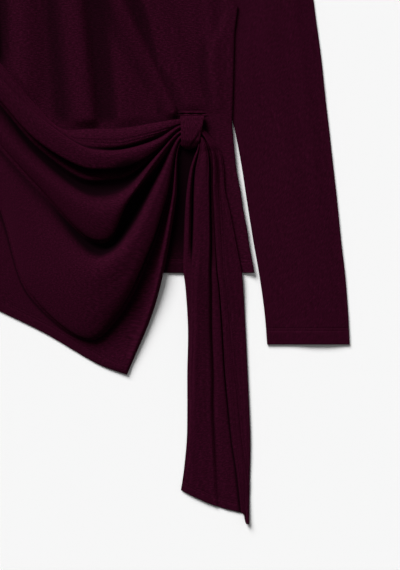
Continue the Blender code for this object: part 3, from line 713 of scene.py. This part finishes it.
def makeOverlay():
    names = list(overlay["lines"])
    knots = []
    for name in names:
        row = []
        columns = (0,) + tuple(range(len(overlay["stations"]) - 1))
        for station, place, column in zip(overlay["stations"], overlay["lines"][name], columns):
            if station == "seam":
                place = (-(float(sideX(float(place))) - 1.0), place)
            row.append((*place, overlay["heights"][name][column]))
        knots.append(row)
    knots = np.array(knots)
    cornered = np.zeros((len(overlay["stations"]), len(names), 1))
    for name, share in overlay["hemCorner"].items():
        cornered[overlay["stations"].index("corner"), names.index(name)] = share
    along = curveThrough(knots.transpose(1, 0, 2), overlay["along"], cornered).transpose(1, 0, 2)
    rows, sharp, paintedCreaseShade = [], [], {}
    for k, name in enumerate(names):
        if name in overlay["paintedCreaseShade"]:
            paintedCreaseShade[len(rows)] = overlay["paintedCreaseShade"][name]
        rows.append(along[k])
        sharp.append(overlay["heights"][name][-1])
        if name in overlay["lips"]:
            back, ahead, inner = overlay["lips"][name]
            under = mix(along[k], along[k - 1], back)
            under[:, 2] = mix(along[k + 1][:, 2], along[k][:, 2], overlay["underLip"])
            pocket = mix(along[k], along[k + 1], ahead)
            pocket[:, 2] = along[k + 1][:, 2] + overlay["pocketFloor"]
            rows += [under, pocket]
            sharp += [0.0, 0.3]
            if inner:
                share, middle, reach = overlay["innerFold"]
                fold = mix(along[k], along[k + 1], share)
                shape = np.exp(-((np.arange(len(fold)) - middle) / reach) ** 2)
                fold[:, 2] = along[k + 1][:, 2] + inner * shape
                rows.append(fold)
                sharp.append(0.0)
    across = [overlay["across"]] * (len(rows) - 1)
    across[0], across[1], across[-2], across[-1] = overlay["hemAcross"]
    grid = curveThrough(np.array(rows), across, np.array(sharp)[:, None, None])
    uv = np.stack([lengths(grid, 1), lengths(grid, 0)], 2)
    x, y, rise = grid[:, :, 0], grid[:, :, 1], np.maximum(grid[:, :, 2], overlay["least"])
    # Painted shade in the overlay's fold pockets, along its creases and at spots inside its pockets.
    depth = paintedFoldShade(rise, 0, *overlay["paintedFoldShade"])
    first, ramp = overlay["creaseShadeStart"]
    clear = ease((np.arange(grid.shape[1]) - first) / ramp)
    for k, (dark, reach) in paintedCreaseShade.items():
        row = np.arange(len(grid))[:, None] - sum(across[:k])
        depth = np.maximum(depth, dark * np.exp(-(row / reach) ** 2) * clear)
    for atX, atY, turn, long, wide, dark in overlay["paintedPocketShade"]:
        u, v = math.cos(math.radians(turn)), math.sin(math.radians(turn))
        lengthwise, crosswise = (x - atX) * u + (y - atY) * v, (y - atY) * u - (x - atX) * v
        away = (lengthwise / long) ** 2 + (crosswise / wide) ** 2
        depth = np.maximum(depth, dark * np.exp(-away ** 2))
    grid[:, :, 2] = underZ(x, y) + garment["seam"] + overlay["wall"] / 2 + rise
    stations = np.cumsum((0,) + overlay["along"])
    bandWide = np.interp(np.arange(grid.shape[1]), stations, overlay["bandWide"])
    fromTop = lengths(grid, 0) / bandWide * garment["hemDepth"]
    corner = stations[overlay["stations"].index("corner")]
    fromHem = distanceTo(grid[:, :, :2], grid[-1, corner:, :2])
    grid[:, :, 2] += hemRelief(fromTop, garment["hemDepth"]) + hemRelief(fromHem, overlay["lowHem"])
    piece = gridPiece("drapeOverlay", grid, uv, overlay["cloth"], depth=depth)
    finishPiece(piece, jersey, ["drape_panel"])
    topBefore, lowBefore = overlay["sewnBefore"]
    nearHem = np.where(fromHem < overlay["hemReach"], fromHem, overlay["hemReach"] + fromTop)
    sewn = []
    for row in hemRows(garment["hemDepth"]):
        sewn += sewRow(grid, fromTop, row, range(stations[2] - topBefore, grid.shape[1]))
    for row in hemRows(overlay["lowHem"]):
        sewn += sewRow(grid, nearHem, row, range(corner - lowBefore, grid.shape[1]))
    stitches = sewPiece("drapeOverlayStitches", sewn)


makeOverlay()
print("overlay draped")

# The tie: a hemmed strip from inside the loop, one long edge folded back over it as a flap.
tie = {
    "cloth": 0.9, "wall": 1.0,
    "sections": [
        # left x, y, right x, y; gap, ridge, crease, flap shares; strip, crown, brink, shelf, lap heights
        (143.0, 188.0, 143.0, 215.0, 0.13, 0.36, 0.56, 0.70, 2.0, 6.5, 5.0, 1.2, 5.0),
        (148.0, 187.5, 151.5, 213.5, 0.14, 0.36, 0.56, 0.70, 3.0, 6.5, 5.5, 1.2, 5.5),
        (154.2, 183.5, 163.0, 203.5, 0.16, 0.36, 0.56, 0.68, 5.0, 8.0, 7.0, 1.2, 7.0),
        (153.5, 177.0, 173.5, 191.5, 0.16, 0.36, 0.56, 0.67, 7.5, 9.5, 8.5, 1.2, 8.0),
        (148.5, 165.0, 186.0, 173.0, 0.14, 0.36, 0.565, 0.68, 9.5, 11.0, 10.0, 1.2, 9.0),
        (142.5, 147.0, 190.6, 150.0, 0.14, 0.38, 0.60, 0.69, 10.5, 12.0, 11.0, 1.4, 9.0),
        (137.8, 118.6, 192.5, 118.6, 0.17, 0.40, 0.62, 0.69, 10.5, 12.0, 11.0, 1.6, 8.5),
        (135.2, 85.7, 200.0, 85.7, 0.175, 0.385, 0.58, 0.65, 9.0, 11.5, 10.5, 1.8, 7.5),
        (134.3, 41.4, 208.6, 41.4, 0.15, 0.33, 0.53, 0.606, 6.0, 10.0, 9.5, 2.2, 6.0),
        (134.2, 0.0, 216.5, 0.0, 0.12, 0.25, 0.471, 0.584, 3.0, 9.5, 7.5, 3.2, 6.0),
        (136.6, -20.0, 218.4, -20.0, 0.10, 0.20, 0.453, 0.59, 2.6, 9.5, 6.5, 3.6, 6.0),
        (140.3, -80.0, 221.7, -80.0, 0.06, 0.15, 0.414, 0.607, 2.4, 9.5, 6.0, 3.8, 6.0),
        (139.3, -141.4, 224.6, -141.4, 0.05, 0.13, 0.435, 0.633, 2.0, 8.0, 5.5, 3.6, 5.8),
        (139.3, -195.7, 227.1, -195.7, 0.05, 0.14, 0.423, 0.675, 2.0, 7.0, 5.0, 2.6, 5.6),
        (138.4, -238.6, 228.6, -238.6, 0.05, 0.16, 0.445, 0.715, 1.5, 4.5, 4.5, 1.2, 4.2),
        (134.3, -281.4, 227.9, -287.0, 0.05, 0.20, 0.504, 0.81, 1.0, 3.2, 3.2, 0.8, 4.5),
        (130.0, -310.0, 226.9, -344.0, 0.05, 0.25, 0.56, 0.89, 0.6, 2.0, 2.0, 0.6, 5.0),
    ],
    "along": 14, "across": 5, "endAlong": 40, "flapAcross": 10, "flat": (0.14, 0.56), "area": 0.068,
    "flapHem": ((-330, 19), (-174, 19), (-124, 17), (-67, 15), (-10, 13.5), (220, 13.5)),  # y, depth
    "endHem": 15.0,
    "tip": {  # the curled point: where it starts, how far it drops, the roll's x, half width and height
        "from": 218.5, "reach": 4.5, "above": -318, "over": 26, "drop": 14, "roll": (225.0, 2.2, 3.0)},
    "bow": 5.0, "bowSpan": (130, 227), "bowFrom": (-250, 60),  # how far the end edge swings out, and where
    "pleats": (  # groove: column at the loop and at its lower end, highest and lowest y, depth, half width
        (5.6, 5.2, 205, 100, 3.0, 0.45), (7.6, 7.4, 200, 130, 2.0, 0.4), (19.0, 18.2, 205, 110, 2.2, 0.5),
        (17.0, 16.8, 205, 120, 1.5, 0.4), (5.4, 5.1, 60, -230, 1.3, 0.4), (6.0, 5.8, 60, -260, -1.4, 0.32),
    ),
    "streaks": (0.22, 2.1, 1.7),   # the fine lengthwise streaks: height, rate and the second rate's ratio
    "streakWaver": (120, 8, 2.0),  # size, seed and strength of their drift
    "loopLift": (2.0, 172, 10),    # how much the tie is lifted where it comes out of the loop
    "paintedFoldShade": (9, 2.5, 8.0), "brink": (12.8, 0.35, 0.9),  # painted shade in folds; painted shade line under the flap: column, half, depth
    "least": 0.05,                 # the tie never lies lower than this over what is under it
    "sewnFrom": 5, "sewnTo": 12, "endSewn": (13, 17, 10),  # where the rows of stitches start and stop
}


def tieRow(section):
    leftX, leftY, rightX, rightY, gap, ridge, crease, flap, strip, crown, brink, shelf, lap = section
    gapFloor = mix(0.3, mix(strip, crown, 0.5), 1 - ease((strip - 2.6) / 4))
    across = [  # share of the width, height
        (0.0, 0.3), (gap * 0.25, strip * 0.8), (gap * 0.5, strip), (gap * 0.8, mix(strip, gapFloor, 0.5)),
        (gap, gapFloor), (mix(gap, ridge, 0.3), mix(gapFloor, crown, 0.85)), (ridge, crown),
        (mix(ridge, crease, 0.6), mix(crown, brink, 0.6)),
        (crease - 0.05, brink), (crease - 0.022, brink * 0.45),
        (crease, 0.2), (mix(crease, flap, 0.25), shelf), (mix(crease, flap, 0.78), shelf * 0.95),
        (mix(flap, 1, -0.02), 0.3), (mix(flap, 1, 0.5), 0.3), (0.975, 0.2), (1.0, 1.5), (0.985, 2.9),
        (mix(1, flap, 0.3), 3.2), (mix(1, flap, 0.65), mix(3.2, lap, 0.6)), (mix(1, flap, 0.88), lap),
        (flap, lap - 0.5),
    ]
    return [(mix(leftX, rightX, share), mix(leftY, rightY, share), rise) for share, rise in across]


def makeTie():
    along = [tie["along"]] * (len(tie["sections"]) - 2) + [tie["endAlong"]]
    sections = curveThrough(np.array(tie["sections"], float), along)
    knots = np.array([tieRow(section) for section in sections])
    across = [tie["across"]] * 16 + [tie["flapAcross"]] * (knots.shape[1] - 17)  # finer on the flap
    grid = curveThrough(knots.transpose(1, 0, 2), across).transpose(1, 0, 2)
    column = np.concatenate([k + np.arange(n) / n for k, n in enumerate(across)] + [[len(across)]])
    for top, low, highY, lowY, deep, half in tie["pleats"]:
        down = np.clip((highY - grid[:, :, 1]) / (highY - lowY), 0, 1)
        fade = ease(down * 6) * (1 - ease((down - 0.6) / 0.4))
        grid[:, :, 2] -= deep * fade * np.exp(-((column - mix(top, low, down)) / half) ** 2)
    streak, rate, ratio = tie["streaks"]
    size, seed, strength = tie["streakWaver"]
    drift = lumps(grid[:, :, 0] * 0, grid[:, :, 1], size, seed) * strength
    fineStreaks = np.sin(column * rate * 2 * math.pi / ratio + drift) * np.sin(column * rate + drift)
    grid[:, :, 2] += streak * fineStreaks
    (bowLeft, bowRight), (bowY, bowOver) = tie["bowSpan"], tie["bowFrom"]
    swing = np.sin(np.clip((grid[:, :, 0] - bowLeft) / (bowRight - bowLeft), 0, 1) * math.pi)
    grid[:, :, 1] -= tie["bow"] * swing * ease((bowY - grid[:, :, 1]) / bowOver)
    tip = tie["tip"]
    drawn = ease((grid[:, :, 0] - tip["from"]) / tip["reach"])
    drawn = drawn * ease((tip["above"] - grid[:, :, 1]) / tip["over"])
    grid[:, :, 1] -= tip["drop"] * drawn
    rollX, rollHalf, rollRise = tip["roll"]
    grid[:, :, 2] += rollRise * drawn * np.exp(-((grid[:, :, 0] - rollX) / rollHalf) ** 2)
    uv = np.stack([lengths(grid, 1), lengths(grid, 0)], 2)
    x, y = grid[:, :, 0], grid[:, :, 1]
    liftHigh, liftY, liftOver = tie["loopLift"]
    lift = liftHigh * ease((y - liftY) / liftOver)
    # Painted shade in the tie's folds, and a painted shade line along the flap's edge.
    depth = paintedFoldShade(grid[:, :, 2], 1, *tie["paintedFoldShade"])
    depth[:, 15 * tie["across"]:] = 0  # no painted shade on the flap's open top
    brinkColumn, brinkHalf, brinkDark = tie["brink"]
    brink = np.exp(-((column - brinkColumn) / brinkHalf) ** 2) * ease((150 - y) / 60)
    depth = np.maximum(depth, brinkDark * brink)
    fromFlap = uv[:, -1:, 0] - uv[:, :, 0]
    fromEnd = lengths(grid[::-1], 0)[::-1]
    rise = np.maximum(grid[:, :, 2], tie["least"])
    grid[:, :, 2] = underZ(x, y) + garment["seam"] + tie["wall"] / 2 + rise + lift
    flapHem = readTable(tie["flapHem"], y)
    grid[:, :, 2] += hemRelief(fromFlap, flapHem) + hemRelief(fromEnd, tie["endHem"])
    piece = gridPiece("waistTie", grid, uv, tie["cloth"], depth=depth)
    finishPiece(piece, jersey, ["waist_tie"])
    top = -5 * tie["flapAcross"]  # the flap's upper layer is the last five intervals
    flapGrid, flapAway = grid.transpose(1, 0, 2)[top:], (fromFlap - flapHem).T[top:]
    leftTo, rightFrom, past = tie["endSewn"]
    sewn = []
    for row in hemRows(0.0):
        sewn += sewRow(flapGrid, flapAway, row,
                       range(tie["sewnFrom"] * tie["along"], len(grid) - tie["sewnTo"]))
    for row in hemRows(tie["endHem"]):
        sewn += sewRow(grid, fromEnd, row, range(2, leftTo * tie["across"]))
        sewn += sewRow(grid, fromEnd, row, range(rightFrom * tie["across"] + past, grid.shape[1]))
    stitches = sewPiece("waistTieStitches", sewn)


makeTie()
print("tie laid")


def makeLoop():
    underneath = float(frontZ(np.array(loopShape["left"]), np.array(loopShape["top"])))
    underneath += garment["wall"] + garment["seam"]
    a = np.linspace(0, 2 * math.pi, loopShape["around"] + 1)[:-1]
    share = 0.5 + 0.5 * np.sign(np.cos(a)) * np.abs(np.cos(a)) ** loopShape["roundAlong"]
    level = 0.5 + 0.5 * np.sign(np.sin(a)) * np.abs(np.sin(a)) ** loopShape["roundUp"]
    rows = []
    for t in np.linspace(0, 1, loopShape["rows"]):
        lowY = loopShape["low"] + loopShape["lowEnds"] * abs(2 * t - 1) ** 3
        y = mix(lowY, loopShape["top"], share)
        left, right, crown = (
            readTable([(side[0], side[k]) for side in loopShape["sides"]], y) for k in (1, 2, 3))
        x = mix(left, right, t)
        atX, atY, acrossX, acrossY = loopShape["turned"]
        turned = (x - atX) * acrossX + (y - atY) * acrossY
        crown = crown - loopShape["turnedDrop"] * ease((turned + 0.5) / 1.2)
        crown = crown - loopShape["turnedGroove"] * np.exp(-(turned / 0.9) ** 2)
        crown = crown - loopShape["sideDrop"] * (2 * t - 1) ** 4
        rows.append(np.stack([x, y, mix(underneath, crown, level)], 1))
    grid = np.array(rows)
    uv = np.stack([lengths(grid, 1), lengths(grid, 0)], 2)
    piece = gridPiece("waistLoop", grid, uv, garment["cloth"], closed=True)
    finishPiece(piece, jersey, ["waist_loop"])


makeLoop()
print("loop sewn on")

# Stage, light and camera
studio = {
    "floorColour": "#fefefe", "floorRoughness": 0.95, "floorSpecular": 0.1, "world": 0.14,
    "floorSize": 8.0, "floorDrop": 0.4,   # metres; millimetres below the cloth, clear of the lower stitches
    "lamps": (  # name, strength, where it stands, how wide it looks in degrees
        ("softboxTop", 4.25, (-0.6, 1.0, 0.8), 32.0),
        ("fillRight", 0.15, (0.8, 0.6, 0.9), 60.0),
    ),
    "lens": 85.0, "sensor": 36.0, "viewCentre": (157.1, -17.1), "viewTall": 814.3,
}
bpy.ops.mesh.primitive_plane_add(size=studio["floorSize"], location=(0, 0, 0))
floor = bpy.context.active_object
floor.name = "floor"
floor.location.z = -studio["floorDrop"] * mm
paper = bpy.data.materials.new("mattePaper")  # uncoated studio paper, off white and without gloss
paper.use_nodes = True
paperShader = paper.node_tree.nodes["Principled BSDF"]
paperShader.inputs["Base Color"].default_value = linear(studio["floorColour"])
paperShader.inputs["Roughness"].default_value = studio["floorRoughness"]
paperShader.inputs["Specular IOR Level"].default_value = studio["floorSpecular"]
floor.data.materials.append(paper)

world = bpy.data.worlds.new("studioWhite")
world.use_nodes = True
world.node_tree.nodes["Background"].inputs["Color"].default_value = (1, 1, 1, 1)
world.node_tree.nodes["Background"].inputs["Strength"].default_value = studio["world"]
bpy.context.scene.world = world

for name, strength, place, soft in studio["lamps"]:
    lamp = bpy.data.objects.new(name, bpy.data.lights.new(name, "SUN"))
    lamp.data.energy = strength
    lamp.data.angle = math.radians(soft)
    bpy.context.scene.collection.objects.link(lamp)
    lamp.location = place
    lampX, lampY, lampZ = place
    lamp.rotation_euler = (math.atan2(math.hypot(lampX, lampY), lampZ), 0, math.atan2(lampX, -lampY))

cameraData = bpy.data.cameras.new("camera")
cameraData.lens = studio["lens"]
cameraData.sensor_width = studio["sensor"]
camera = bpy.data.objects.new("camera", cameraData)
bpy.context.scene.collection.objects.link(camera)
centre = (np.array([*studio["viewCentre"], 0.0]) + layShift) * mm
camera.location = (centre[0], centre[1], studio["viewTall"] * mm * studio["lens"] / studio["sensor"])
bpy.context.scene.camera = camera
print("stage set")
